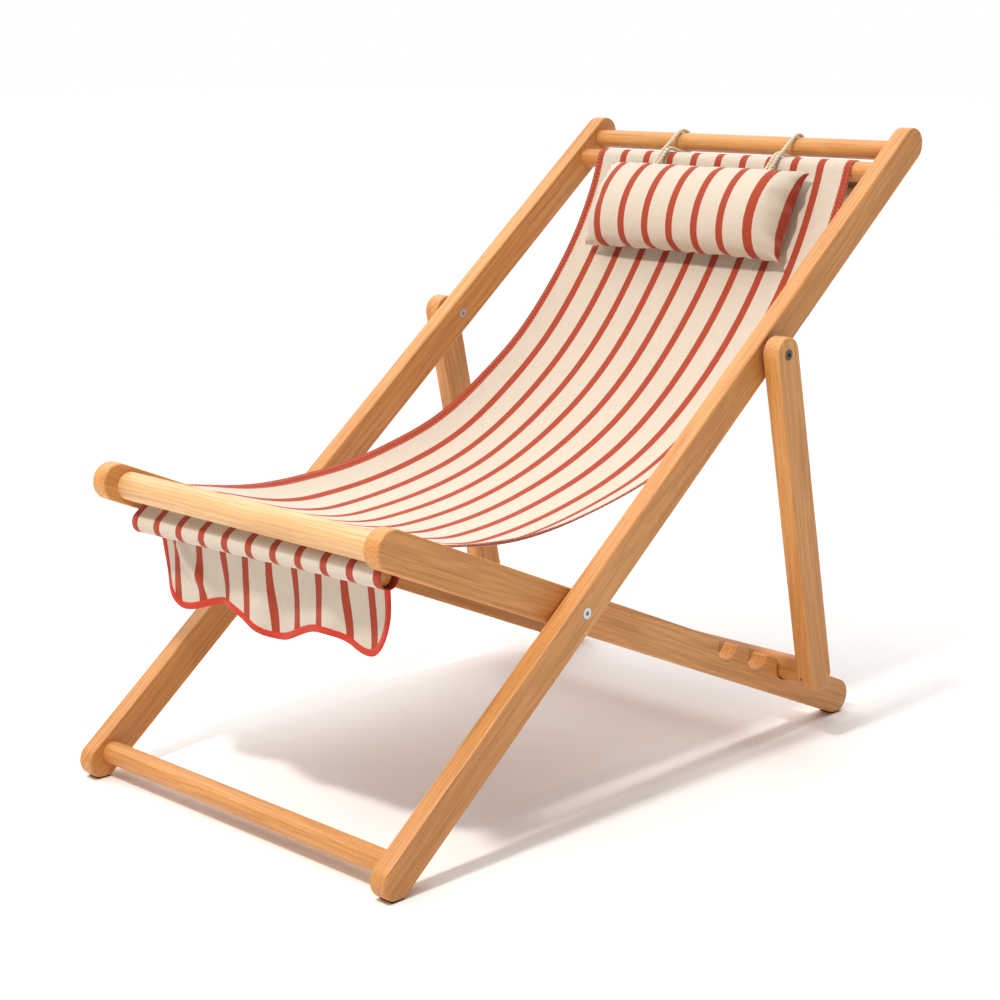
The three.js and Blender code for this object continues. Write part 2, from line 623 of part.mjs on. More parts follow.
// A loop of rope leaves the pillow's top seam, passes over the wrapped sling bar and the top rail,
// comes back under the rail and out between the two bars, and returns to the seam beside itself.
function loopRoute() {
  const start = step(pillowSeam, pillowUp, PILLOW_HEIGHT / 2 + LOOP_ROPE_RADIUS);
  const overBar = SLING_BAR_RADIUS + 2 * GAP + CLOTH_THICKNESS + LOOP_ROPE_RADIUS;
  const overRail = TOP_RAIL_RADIUS + GAP + LOOP_ROPE_RADIUS;
  const rail = step(foot, backDirection, topRailAt);
  const degrees = THREE.MathUtils.radToDeg;
  const fromBar = start.clone().sub(topSlingBar);
  const leaves = degrees(fromBar.angle() - Math.acos(overBar / fromBar.length()));
  const outer = BACK_LEAN + degrees(Math.acos((overBar - overRail) / SLING_BAR_SPACING));
  const crossed = BACK_LEAN + degrees(Math.acos((overBar + overRail) / SLING_BAR_SPACING));
  const up = [start, ...arcPoints(topSlingBar, overBar, leaves, outer, 4)];
  const around = arcPoints(rail, overRail, outer, crossed - 180, 16);
  const back = [...arcPoints(topSlingBar, overBar, crossed, leaves, 7), start];
  const half = LOOP_STRAND_SPACING / 2;
  const across = (share) => half * (1 - 2 * THREE.MathUtils.smoothstep(share, 0, 1));
  return [
    ...up.map((place) => new THREE.Vector3(half, place.x, place.y)),
    ...around.map((place, i) =>
      new THREE.Vector3(across(i / (around.length - 1)), place.x, place.y)),
    ...back.map((place) => new THREE.Vector3(-half, place.x, place.y)),
  ];
}

function addLoops() {
  const section = new THREE.Shape();
  section.absarc(0, 0, LOOP_ROPE_RADIUS, 0, 2 * Math.PI, false);
  const extrudePath = new THREE.CatmullRomCurve3(loopRoute());
  for (const [name, side] of SIDES) {
    const loop = new THREE.ExtrudeGeometry(section, { steps: LOOP_STEPS, extrudePath, curveSegments: 5 });
    addPiece(cloth, `pillow_loop_${name}`, onSide(loop, side), ROPE, side * LOOP_OFFSET);
  }
}

addBackFrame();
addSeatFrame();
addPropFrame();
addPivots();
addPads();
addSling();
addSleeves();
addValance();
addPillow();
addLoops();

export default chair;
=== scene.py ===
"""The looks of a folding wooden sling chair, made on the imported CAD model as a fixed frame.

Metres, +Z up, +Y towards the back of the chair, +X to the right of someone looking at its front.
"""
import json
import math

import bpy
import numpy as np
from mathutils import Matrix, Vector


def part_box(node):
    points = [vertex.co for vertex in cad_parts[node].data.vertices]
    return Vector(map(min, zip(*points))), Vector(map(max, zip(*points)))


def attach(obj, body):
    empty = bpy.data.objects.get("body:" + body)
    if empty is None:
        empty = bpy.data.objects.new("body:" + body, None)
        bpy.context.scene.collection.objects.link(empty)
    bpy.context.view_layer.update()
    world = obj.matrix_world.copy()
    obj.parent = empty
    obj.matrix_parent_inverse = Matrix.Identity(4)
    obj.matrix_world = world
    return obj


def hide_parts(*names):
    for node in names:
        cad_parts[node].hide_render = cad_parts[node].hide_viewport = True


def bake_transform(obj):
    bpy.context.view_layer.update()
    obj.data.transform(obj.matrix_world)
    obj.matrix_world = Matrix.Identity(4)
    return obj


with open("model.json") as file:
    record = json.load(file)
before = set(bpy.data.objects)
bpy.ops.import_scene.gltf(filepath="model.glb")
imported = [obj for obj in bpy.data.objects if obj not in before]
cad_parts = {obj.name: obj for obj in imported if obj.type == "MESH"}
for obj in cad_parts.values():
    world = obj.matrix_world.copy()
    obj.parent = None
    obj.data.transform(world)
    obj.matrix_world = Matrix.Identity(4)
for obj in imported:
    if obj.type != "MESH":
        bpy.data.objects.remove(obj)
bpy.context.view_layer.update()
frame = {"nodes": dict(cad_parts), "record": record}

# ---- sizes shared by several pieces ----------------------------------------------------------
CLOTH = 0.0012              # thickness of the canvas
BAR_GAP = 0.0004            # between a bar and the cloth on it
SLING_HALF = 0.222
HEM = 0.012                 # width of the sling's side hems
STRIPE_PITCH = 0.0433
STRIPE_HALF = 0.0058
SLING_SLOPE_AT_FRONT = 11.6  # degrees, falling away from the front bar
SLING_SLOPE_AT_TOP = 72.9    # degrees, rising to the top sling bar
SLING_FULLNESS_AT_FRONT = 0.447
SLING_FULLNESS_AT_TOP = 0.31
SLING_SAG = 0.026           # how far the middle of the seat hangs below its edges
PILLOW_ALONG_SLING = 0.903
PILLOW_X = -0.003

SLING_BAR_RADIUS = 0.0135   # both of the bars that carry the sling
TOP_RAIL_RADIUS = 0.013
DOWEL_RADIUS = 0.0122
FRONT_DOWEL_HALF = 0.214

CLOTH_COLUMNS = 112         # points across the sling and across its sleeves
SLING_SPACING = 0.006       # between points along the sling
FINE_SPACING = 0.003        # between points along the sleeves and the valance's edge


def middle_of(node):
    """The middle of a CAD node's box, as [x, y, z]."""
    low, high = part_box(node)
    return [(low[k] + high[k]) / 2 for k in range(3)]


def centre(node):
    """The middle of a CAD node's box in the side view, as (y, z)."""
    return np.array(middle_of(node)[1:])


def along(degrees):
    """The unit vector in the side view at that angle above +Y."""
    angle = math.radians(degrees)
    return np.array([math.cos(angle), math.sin(angle)])


def angle_of(vector):
    """The angle of a side-view vector above +Y, in degrees."""
    return math.degrees(math.atan2(vector[1], vector[0]))


FRONT_BAR = centre("front_bar")
FRONT_SLING_BAR = centre("front_sling_bar")
TOP_SLING_BAR = centre("top_sling_bar")
TOP_RAIL = centre("top_rail")
BACK_LEAN = angle_of(TOP_RAIL - TOP_SLING_BAR)
SEAT_SLOPE = -angle_of(FRONT_SLING_BAR - FRONT_BAR)
FRONT_SLEEVE = centre("front_sleeve_dowel")
REAR_SLEEVE = centre("rear_sleeve_dowel")
JOINTS = {joint["name"]: joint for joint in frame["record"]["behaviour"]["joints"]}
PROP_PIVOT = np.array(JOINTS["prop_swing"]["pos_m"][1:])
PROP_LEAN = angle_of(centre("prop_crossbar") - PROP_PIVOT)


# ---- camera ----------------------------------------------------------------------------------
CAMERA_PLACE = (1.7277, -1.8359, 0.8883)
CAMERA_YAW = 43.66          # degrees
CAMERA_PITCH = 12.63
CAMERA_ROLL = 0.32
CAMERA_LENS = 71.43         # millimetres, on a sensor 36 wide


def make_camera():
    """Front right, a little above the top of the chair, with a moderately long lens."""
    yaw, pitch, roll = (math.radians(a) for a in (CAMERA_YAW, CAMERA_PITCH, CAMERA_ROLL))
    data = bpy.data.cameras.new("camera")
    data.sensor_width = 36
    data.lens = CAMERA_LENS
    camera = bpy.data.objects.new("camera", data)
    bpy.context.scene.collection.objects.link(camera)
    level = math.cos(pitch)
    ahead = Vector((-math.sin(yaw) * level, math.cos(yaw) * level, -math.sin(pitch)))
    right = Vector((math.cos(yaw), math.sin(yaw), 0))
    up = right.cross(ahead)
    tilted = right * math.cos(roll) + up * math.sin(roll)
    up = tilted.cross(ahead)
    rotation = Matrix((tilted, up, -ahead)).transposed()
    camera.matrix_world = Matrix.Translation(CAMERA_PLACE) @ rotation.to_4x4()
    bpy.context.scene.camera = camera


# ---- side-view lines -------------------------------------------------------------------------
def arc(middle, radius, first, last, count):
    """Points on a circle in the side view, from one angle to another, in degrees."""
    return [middle + radius * along(a) for a in np.linspace(first, last, count + 1)]


def resample(line, spacing):
    """The same line with evenly spaced points, as an array."""
    line = np.array(line, float)
    lengths = np.linalg.norm(np.diff(line, axis=0), axis=1)
    distance = np.concatenate([[0], np.cumsum(lengths)])
    count = max(2, int(round(distance[-1] / spacing)) + 1)
    wanted = np.linspace(0, distance[-1], count)
    return np.stack([np.interp(wanted, distance, line[:, k]) for k in range(line.shape[1])], axis=1)


def length_of(line):
    """The length of a line through its points."""
    return np.linalg.norm(np.diff(line, axis=0), axis=1).sum()


def tangents_of(line):
    """Unit directions along a line, at each of its points."""
    tangent = np.gradient(line, axis=0)
    return tangent / np.linalg.norm(tangent, axis=1)[:, None]


def normals_of(line):
    """Unit normals of a flat line, a quarter turn counter-clockwise from its direction."""
    tangent = tangents_of(line)
    return np.stack([-tangent[:, 1], tangent[:, 0]], axis=1)


def bezier(points, t):
    """A cubic curve's points at the parameters t."""
    t = np.asarray(t, float)[:, None]
    a, b, c, d = points
    return (1 - t) ** 3 * a + 3 * t * (1 - t) ** 2 * b + 3 * t * t * (1 - t) * c + t ** 3 * d


WRAP = SLING_BAR_RADIUS + BAR_GAP + CLOTH / 2
SLING_START = FRONT_SLING_BAR + WRAP * along(90 - SLING_SLOPE_AT_FRONT)
SLING_END = TOP_SLING_BAR + WRAP * along(90 + SLING_SLOPE_AT_TOP)
SLING_SPAN = np.linalg.norm(SLING_END - SLING_START)
SLING_CURVE = (
    SLING_START,
    SLING_START + SLING_SPAN * SLING_FULLNESS_AT_FRONT * along(-SLING_SLOPE_AT_FRONT),
    SLING_END - SLING_SPAN * SLING_FULLNESS_AT_TOP * along(SLING_SLOPE_AT_TOP),
    SLING_END,
)


def sling_line():
    """The sling from the gap behind the front bar to the gap below the top rail."""
    front = arc(FRONT_SLING_BAR, WRAP, 180 - SEAT_SLOPE, 90 - SLING_SLOPE_AT_FRONT, 8)
    middle = list(bezier(SLING_CURVE, np.linspace(0, 1, 120))[1:-1])
    top = arc(TOP_SLING_BAR, WRAP, 90 + SLING_SLOPE_AT_TOP, BACK_LEAN, 12)
    return resample(front + middle + top, SLING_SPACING)


def sleeve_line(start, middle, turn):
    """A cloth that leaves the end of start, goes once round a loose dowel and closes on itself."""
    radius = DOWEL_RADIUS + BAR_GAP + CLOTH
    to_bar = start[-1] - middle
    swing = math.degrees(math.acos(radius / np.linalg.norm(to_bar)))
    first = angle_of(to_bar) + turn * swing
    around = arc(middle, radius, first, first + turn * 325, 40)
    return resample(list(start) + around, FINE_SPACING)


# ---- mesh helpers ----------------------------------------------------------------------------
def add_object(name, vertices, faces, uvs=None):
    """A smooth mesh object. uvs gives one (u, v) for each vertex, in metres of flat cloth."""
    mesh = bpy.data.meshes.new(name)
    mesh.from_pydata([tuple(v) for v in vertices], [], [tuple(f) for f in faces])
    mesh.update()
    if uvs is not None:
        layer = mesh.uv_layers.new(name="cloth")
        loops = np.zeros(len(mesh.loops), int)
        mesh.loops.foreach_get("vertex_index", loops)
        layer.data.foreach_set("uv", np.asarray(uvs, float)[loops].ravel())
    mesh.shade_smooth()
    piece = bpy.data.objects.new(name, mesh)
    bpy.context.scene.collection.objects.link(piece)
    return piece


def grid_faces(rows, columns, closed=False):
    """Quads of a grid of points stored row by row; closed joins the last column to the first."""
    faces = []
    for r in range(rows - 1):
        for c in range(columns if closed else columns - 1):
            d = (c + 1) % columns
            low, high = r * columns, (r + 1) * columns
            faces.append((low + c, low + d, high + d, high + c))
    return faces


def bake_modifiers(piece):
    """Replaces the piece's mesh with the one its modifiers make."""
    depsgraph = bpy.context.evaluated_depsgraph_get()
    evaluated = piece.evaluated_get(depsgraph)
    mesh = bpy.data.meshes.new_from_object(evaluated, preserve_all_data_layers=True, depsgraph=depsgraph)
    piece.modifiers.clear()
    piece.data = mesh


def cloth_from_grid(name, points, uvs):
    """A sheet of cloth with thickness, from a grid of points (rows, columns, 3)."""
    rows, columns = points.shape[:2]
    piece = add_object(name, points.reshape(-1, 3), grid_faces(rows, columns), uvs.reshape(-1, 2))
    solidify = piece.modifiers.new("thickness", "SOLIDIFY")
    solidify.thickness = CLOTH
    solidify.offset = 0
    bake_modifiers(piece)
    return piece


def smoothstep(low, high, value):
    """0 before low and 1 past high, smooth between them; low may be the larger."""
    t = np.clip((value - low) / (high - low), 0, 1)
    return t * t * (3 - 2 * t)


def ripple(x, y, seed):
    """Smooth irregular waves between about -1 and 1, the same on every run."""
    chooser = np.random.default_rng(seed)
    total = np.zeros(np.broadcast(x, y).shape)
    for _ in range(6):
        fx, fy = chooser.uniform(-1, 1, 2)
        total = total + np.sin(2 * math.pi * (fx * x + fy * y) + chooser.uniform(0, 6.28))
    return total / 3.5


# ---- materials -------------------------------------------------------------------------------
def srgb(red, green, blue):
    """A screen colour, 0 to 255, as the linear colour that shaders take."""
    def linear(value):
        value /= 255
        return value / 12.92 if value <= 0.04045 else ((value + 0.055) / 1.055) ** 2.4
    return (linear(red), linear(green), linear(blue), 1.0)


class Nodes:
    """A short way to write a material's node tree."""

    def __init__(self, name):
        self.material = bpy.data.materials.new(name)
        self.material.use_nodes = True
        self.tree = self.material.node_tree
        self.shader = self.tree.nodes["Principled BSDF"]

    def add(self, kind, inputs=(), **settings):
        """Adds a node; inputs maps a socket's name or number to a value or another socket."""
        node = self.tree.nodes.new(kind)
        for key, value in settings.items():
            setattr(node, key, value)
        for key, value in dict(inputs).items():
            self.put(node.inputs[key], value)
        return node

    def put(self, socket, value):
        """Links a socket to another one, or sets its value."""
        if isinstance(value, bpy.types.NodeSocket):
            self.tree.links.new(value, socket)
        else:
            socket.default_value = value

    def math(self, operation, first, second=0.0):
        node = self.add("ShaderNodeMath", {0: first, 1: second}, operation=operation)
        return node.outputs[0]

    def mix(self, factor, first, second):
        """A blend of two colours."""
        node = self.add("ShaderNodeMix", data_type="RGBA")
        self.put(node.inputs["Factor"], factor)
        self.put(node.inputs["A"], first)
        self.put(node.inputs["B"], second)
        return node.outputs["Result"]

    def between(self, value, from_low, from_high, to_low=0.0, to_high=1.0):
        """The value mapped smoothly from one range to another and held at its ends."""
        inputs = {0: value, 1: from_low, 2: from_high, 3: to_low, 4: to_high}
        node = self.add("ShaderNodeMapRange", inputs, interpolation_type="SMOOTHSTEP")
        return node.outputs[0]

    def noise(self, vector, scale, detail=3.0, roughness=0.55):
        """Soft noise between about 0 and 1."""
        node = self.add("ShaderNodeTexNoise", {"Scale": scale, "Detail": detail, "Roughness": roughness})
        self.put(node.inputs["Vector"], vector)
        return node.outputs["Fac"]

    def stretched(self, vector, scale, location=(0, 0, 0), rotation=(0, 0, 0)):
        """Coordinates that are scaled, turned and moved."""
        node = self.add("ShaderNodeMapping", {"Scale": scale, "Location": location, "Rotation": rotation})
        self.put(node.inputs["Vector"], vector)
        return node.outputs["Vector"]

    def finish(self, colour, roughness, height=None, strength=0.2, distance=0.0005):
        """Joins colour, roughness and, where there is a height, bump to the shader."""
        self.put(self.shader.inputs["Base Color"], colour)
        self.put(self.shader.inputs["Roughness"], roughness)
        if height is not None:
            bump = self.add("ShaderNodeBump", {"Height": height, "Strength": strength, "Distance": distance})
            self.put(self.shader.inputs["Normal"], bump.outputs["Normal"])
        return self.material


TEAK = (srgb(226, 162, 92), srgb(211, 142, 73), srgb(148, 88, 36))            # light, middle, dark
PALE_TEAK = (srgb(236, 192, 138), srgb(226, 176, 120), srgb(176, 118, 66))
RING_SPACING = 0.0065       # between the growth rings of the wood
RING_DRIFT = 0.050          # how far the rings wander
RING_STRENGTH = 0.20


def wood_material(name, middle, lean, seed, along_x=False, tones=TEAK):
    """Oiled teak with its grain along a rail: lean is the rail's angle above +Y, in degrees."""
    light, mid, dark = tones
    chooser = np.random.default_rng(seed)
    nodes = Nodes(name)
    turn = (0, 0, math.pi / 2) if along_x else (-math.radians(lean), 0, 0)
    coordinates = nodes.add("ShaderNodeTexCoord").outputs["Object"]
    centred = nodes.stretched(coordinates, (1, 1, 1), location=tuple(-c for c in middle))
    grain = nodes.stretched(centred, (1, 1, 1), rotation=turn)
    heart = (chooser.uniform(0.02, 0.05), chooser.uniform(-9, 9), chooser.uniform(-0.06, -0.03))
    grain = nodes.stretched(grain, (1, 1, 1), location=heart)
    drift = nodes.noise(nodes.stretched(grain, (22, 2.2, 22)), 1.0, 3.0)
    parts = nodes.add("ShaderNodeSeparateXYZ", {0: grain}).outputs
    square = nodes.math("ADD", nodes.math("POWER", parts[0], 2.0), nodes.math("POWER", parts[2], 2.0))
    radius = nodes.math("ADD", nodes.math("SQRT", square), nodes.math("MULTIPLY", drift, RING_DRIFT))
    rings = nodes.math("SINE", nodes.math("MULTIPLY", radius, 2 * math.pi / RING_SPACING))
    rings = nodes.between(rings, -1.0, 1.0)
    streaks = nodes.noise(nodes.stretched(grain, (420, 7, 420)), 1.0, 4.0, 0.6)
    pores = nodes.noise(nodes.stretched(grain, (1500, 45, 1500)), 1.0, 2.0, 0.5)
    patches = nodes.noise(nodes.stretched(grain, (14, 3, 14)), 1.0, 2.0)
    colour = nodes.mix(nodes.between(patches, 0.3, 0.7), mid, light)
    colour = nodes.mix(nodes.math("MULTIPLY", rings, RING_STRENGTH), colour, dark)
    colour = nodes.mix(nodes.between(streaks, 0.42, 0.78, 0.0, 0.5), colour, dark)
    colour = nodes.mix(nodes.between(pores, 0.58, 0.72, 0.0, 0.42), colour, dark)
    height = nodes.math("SUBTRACT", nodes.math("MULTIPLY", streaks, 0.6), nodes.between(pores, 0.6, 0.72))
    roughness = nodes.between(streaks, 0.3, 0.7, 0.42, 0.58)
    nodes.shader.inputs["Coat Weight"].default_value = 0.08
    nodes.shader.inputs["Coat Roughness"].default_value = 0.35
    return nodes.finish(colour, roughness, height, 0.22, 0.0004)


CANVAS_COLOUR = srgb(217, 203, 186)
STRIPE_COLOUR = srgb(174, 68, 43)
STRIPE_BLUR = 0.0003        # half the width of a stripe's soft edge
YARN_STRAY = 0.0012         # width of the band in which a stripe's edge wanders
WEAVE_SPACING = 0.0011


def canvas_material():
    """Plain-woven cotton with a woven stripe; the cloth's flat u runs across the stripes."""
    nodes = Nodes("striped_canvas")
    flat = nodes.add("ShaderNodeUVMap", uv_map="cloth").outputs["UV"]
    parts = nodes.add("ShaderNodeSeparateXYZ", {0: flat}).outputs
    fuzz = nodes.noise(nodes.stretched(flat, (900, 260, 1)), 1.0, 2.0)
    stray = nodes.math("MULTIPLY", nodes.math("SUBTRACT", fuzz, 0.5), YARN_STRAY)
    across = nodes.math("ADD", parts[0], stray)
    phase = nodes.math("FRACT", nodes.math("ADD", nodes.math("DIVIDE", across, STRIPE_PITCH), 100.5))
    away = nodes.math("ABSOLUTE", nodes.math("SUBTRACT", phase, 0.5))
    away = nodes.math("MULTIPLY", away, STRIPE_PITCH)
    striped = nodes.between(away, STRIPE_HALF - STRIPE_BLUR, STRIPE_HALF + STRIPE_BLUR, 1.0, 0.0)
    warp = nodes.noise(nodes.stretched(flat, (1100, 60, 1)), 1.0, 3.0, 0.7)
    weft = nodes.noise(nodes.stretched(flat, (60, 1100, 1)), 1.0, 3.0, 0.7)
    threads = nodes.math("MULTIPLY", nodes.math("ADD", warp, weft), 0.5)
    soil = nodes.noise(nodes.stretched(flat, (9, 9, 1)), 1.0, 3.0)
    colour = nodes.mix(striped, CANVAS_COLOUR, STRIPE_COLOUR)
    shade = nodes.mix(0.82, (0, 0, 0, 1), colour)
    colour = nodes.mix(nodes.between(threads, 0.42, 0.60, 0.55, 0.0), colour, shade)
    colour = nodes.mix(nodes.between(soil, 0.35, 0.8, 0.0, 0.16), colour, shade)
    turns = 2 * math.pi / WEAVE_SPACING
    over = nodes.math("SINE", nodes.math("MULTIPLY", parts[0], turns))
    under = nodes.math("SINE", nodes.math("MULTIPLY", parts[1], turns))
    weave = nodes.math("MULTIPLY", over, under)
    height = nodes.math("ADD", nodes.math("MULTIPLY", weave, 0.5), nodes.math("MULTIPLY", threads, 1.6))
    nodes.shader.inputs["Sheen Weight"].default_value = 0.12
    nodes.shader.inputs["Sheen Roughness"].default_value = 0.5
    nodes.shader.inputs["Specular IOR Level"].default_value = 0.25
    return nodes.finish(colour, nodes.between(threads, 0.4, 0.6, 0.95, 0.85), height, 0.35, 0.0003)


def tape_material():
    """The binding: a ribbed cotton tape, its ribs running along it."""
    nodes = Nodes("binding_tape")
    flat = nodes.add("ShaderNodeUVMap", uv_map="cloth").outputs["UV"]
    parts = nodes.add("ShaderNodeSeparateXYZ", {0: flat}).outputs
    ribs = nodes.math("SINE", nodes.math("MULTIPLY", parts[1], 2 * math.pi / 0.0016))
    yarn = nodes.noise(nodes.stretched(flat, (700, 700, 1)), 1.0, 3.0, 0.7)
    colour = nodes.mix(nodes.between(yarn, 0.35, 0.7), srgb(186, 40, 16), srgb(216, 58, 25))
    height = nodes.math("ADD", nodes.math("MULTIPLY", ribs, 0.5), yarn)
    nodes.shader.inputs["Sheen Weight"].default_value = 0.15
    return nodes.finish(colour, 0.85, height, 0.4, 0.0004)


def rope_material():
    """Natural cotton rope with short loose fibres."""
    nodes = Nodes("cotton_rope")
    coordinates = nodes.add("ShaderNodeTexCoord").outputs["Object"]
    fibres = nodes.noise(nodes.stretched(coordinates, (1500, 1500, 1500)), 1.0, 3.0, 0.7)
    colour = nodes.mix(nodes.between(fibres, 0.35, 0.7), srgb(206, 190, 160), srgb(244, 235, 216))
    return nodes.finish(colour, 0.92, fibres, 0.5, 0.0004)


def thread_material():
    """Sewing thread, a little paler than the stripe it is sewn on."""
    nodes = Nodes("sewing_thread")
    coordinates = nodes.add("ShaderNodeTexCoord").outputs["Object"]
    twist = nodes.noise(coordinates, 2500.0, 2.0)
    colour = nodes.mix(twist, srgb(214, 140, 116), srgb(240, 200, 180))
    return nodes.finish(colour, 0.7, twist, 0.3, 0.0002)


def steel_material(name, dark=False):
    """Plated steel with turning marks; dark is a duller, darker one for nuts and pins, its darkness partly
    the metal's own tone and partly painted shade of the recess the nut sits in.
    """
    nodes = Nodes(name)
    coordinates = nodes.add("ShaderNodeTexCoord").outputs["Object"]
    marks = nodes.noise(nodes.stretched(coordinates, (300, 2600, 2600)), 1.0, 2.0)
    # darker steel colours: partly the metal's own tone, partly painted shade of the nut's recess
    steel_with_painted_shade = (srgb(70, 66, 62), srgb(110, 104, 98))
    bright = (srgb(168, 168, 170), srgb(212, 212, 214))
    colour = nodes.mix(marks, *(steel_with_painted_shade if dark else bright))
    nodes.shader.inputs["Metallic"].default_value = 1.0
    return nodes.finish(colour, nodes.between(marks, 0.3, 0.7, 0.22, 0.38), marks, 0.08, 0.0002)


def rubber_material():
    """Matt black rubber with dust in its grain."""
    nodes = Nodes("pad_rubber")
    coordinates = nodes.add("ShaderNodeTexCoord").outputs["Object"]
    dust = nodes.noise(coordinates, 900.0, 3.0)
    colour = nodes.mix(nodes.between(dust, 0.5, 0.8), srgb(28, 27, 26), srgb(70, 66, 60))
    return nodes.finish(colour, nodes.between(dust, 0.3, 0.7, 0.75, 0.92), dust, 0.3, 0.0003)


def set_material(piece, material):
    """Gives a new piece its one material."""
    piece.data.materials.clear()
    piece.data.materials.append(material)


def paint_node(node, material):
    """Gives a CAD node a material without changing its mesh."""
    piece = frame["nodes"][node]
    for slot in piece.material_slots:
        slot.material = material
    if not piece.material_slots:
        piece.data.materials.append(material)


# ---- the CAD nodes that stay -----------------------------------------------------------------
def paint_wood():
    """Teak for the rails, legs and bars, each with grain of its own; the front bar is paler."""
    leans = {"back_rail": BACK_LEAN, "seat_rail": -SEAT_SLOPE, "prop_leg": PROP_LEAN}
    bars = ["top_rail", "top_sling_bar", "bottom_rail", "front_bar", "front_sling_bar", "prop_crossbar",
            "rear_sleeve_dowel"]
    seed = 3
    for kind, lean in leans.items():
        for side in ("left", "right"):
            node = f"{kind}_{side}"
            paint_node(node, wood_material(f"teak_{node}", middle_of(node), lean, seed))
            seed += 1
    for node in bars:
        tones = PALE_TEAK if node == "front_bar" else TEAK
        paint_node(node, wood_material(f"teak_{node}", middle_of(node), 0, seed, along_x=True, tones=tones))
        seed += 1


def paint_hardware():
    """Metal for the pivots and pins, rubber for the pads; the nut and the pins get the darker steel, which
    is partly painted shade of the nut's recess.
    """
    steel = steel_material("plated_steel")
    steel_with_painted_shade = steel_material("dark_steel_with_painted_shade", dark=True)
    rubber = rubber_material()
    for node in frame["nodes"]:
        if "pivot" in node or "pin_" in node:
            # the nut and the pins take the darker steel, partly painted shade of the recess
            paint_node(node, steel_with_painted_shade if "prop_pivot_nut" in node or "pin_" in node else steel)
        if "pad" in node:
            paint_node(node, rubber)


# ---- sling -----------------------------------------------------------------------------------
SAG_AT_HEMS = 0.15          # share of the sag that the hems have too
SAG_LOST_UP_THE_BACK = 0.85
HEM_DRAW = 0.8              # how much the sag draws the hems inwards
SLACK_WAVE = 0.0012
HEM_CURL = 0.0022


def sling_columns():
    """(x, depth below the cloth) from one edge to the other; the hems are folded under."""
    inner = SLING_HALF - HEM
    flat = np.linspace(-SLING_HALF, SLING_HALF, CLOTH_COLUMNS)
    fold = CLOTH + 0.0003
    under = [(inner, fold), (SLING_HALF - 0.002, fold), (SLING_HALF + 0.0004, fold * 0.5)]
    left = [(-x, depth) for x, depth in under]
    right = [(x, depth) for x, depth in reversed(under)]
    return np.array(left + [(x, 0.0) for x in flat] + right)


def sling_sag(s, x):
    """How far the cloth hangs below its taut line: most in the middle, none over the bars."""
    between_bars = smoothstep(0.02, 0.22, s) * smoothstep(0.99, 0.90, s)
    along_cloth = between_bars * (1 - SAG_LOST_UP_THE_BACK * smoothstep(0.40, 0.86, s))
    across_cloth = 1 - (np.abs(x) / SLING_HALF).clip(0, 1) ** 5
    return SLING_SAG * along_cloth * (across_cloth + SAG_AT_HEMS)


def sling_surface(line, normals, x, depth):
    """Points of the sling, with slack ripples near its free edges, which the sag draws inwards."""
    rows = len(line)
    s = np.linspace(0, 1, rows)[:, None]
    free = smoothstep(0.02, 0.12, s) * smoothstep(0.99, 0.90, s)
    edge = smoothstep(0.12, SLING_HALF, np.abs(x))[None, :]
    waves = ripple(x[None, :] * 3.2, s * 5, 11) * SLACK_WAVE
    curl = edge * ripple(x[None, :] * 2, s * 6, 5) * HEM_CURL
    pull = 1 - HEM_DRAW * sling_sag(s, np.zeros((1, 1))) * edge
    lift = free * (waves + curl) - depth[None, :] - sling_sag(s, x[None, :])
    points = np.empty((rows, len(x), 3))
    points[:, :, 0] = x[None, :] * pull
    points[:, :, 1] = line[:, None, 0] + normals[:, None, 0] * lift
    points[:, :, 2] = line[:, None, 1] + normals[:, None, 1] * lift
    return points


def make_sling(canvas, thread):
    """The cloth between the bars and its stitching."""
    line = sling_line()
    normals = normals_of(line)
    columns = sling_columns()
    points = sling_surface(line, normals, columns[:, 0], columns[:, 1])
    length = length_of(line)
    v = np.linspace(0, length, len(line))
    uvs = np.stack(np.broadcast_arrays(columns[None, :, 0], v[:, None]), axis=2)
    sling = cloth_from_grid("sling_canvas", points, uvs)
    set_material(sling, canvas)
    stitches = make_stitches(line, thread)
    for piece in (sling, stitches):
        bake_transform(piece)
    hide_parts("sling")


def make_stitches(line, thread):
    """Two rows of running stitch along each hem, as short raised threads."""
    spacing = 0.0055
    half = 0.0019
    fine = resample(line, spacing)
    fine_normals = normals_of(fine)
    tangents = tangents_of(fine)
    vertices, faces = [], []
    for offset in (0.0028, 0.0100):
        for side in (-1, 1):
            x = np.full(1, side * (SLING_HALF - offset))
            surface = sling_surface(fine, fine_normals, x, np.zeros(1))[:, 0]
            for k in range(2, len(fine) - 2):
                add_stitch(vertices, faces, surface[k], tangents[k], fine_normals[k], half)
    stitches = add_object("hem_stitching", vertices, faces)
    set_material(stitches, thread)
    return stitches


def add_stitch(vertices, faces, place, tangent, normal, half):
    """One stitch: a low spindle that lies on the cloth."""
    ahead = np.array([0, *tangent])
    up = np.array([0, *normal])
    side = np.array([1.0, 0, 0])
    base = len(vertices)
    ground = place + up * CLOTH / 2
    ring = [ground + side * 0.0005, ground + up * 0.0006, ground - side * 0.0005, ground - up * 0.0004]
    vertices += [ground - ahead * half, *ring, ground + ahead * half]
    for k in range(4):
        following = (k + 1) % 4
        faces.append((base, base + 1 + k, base + 1 + following))
        faces.append((base + 5, base + 1 + following, base + 1 + k))


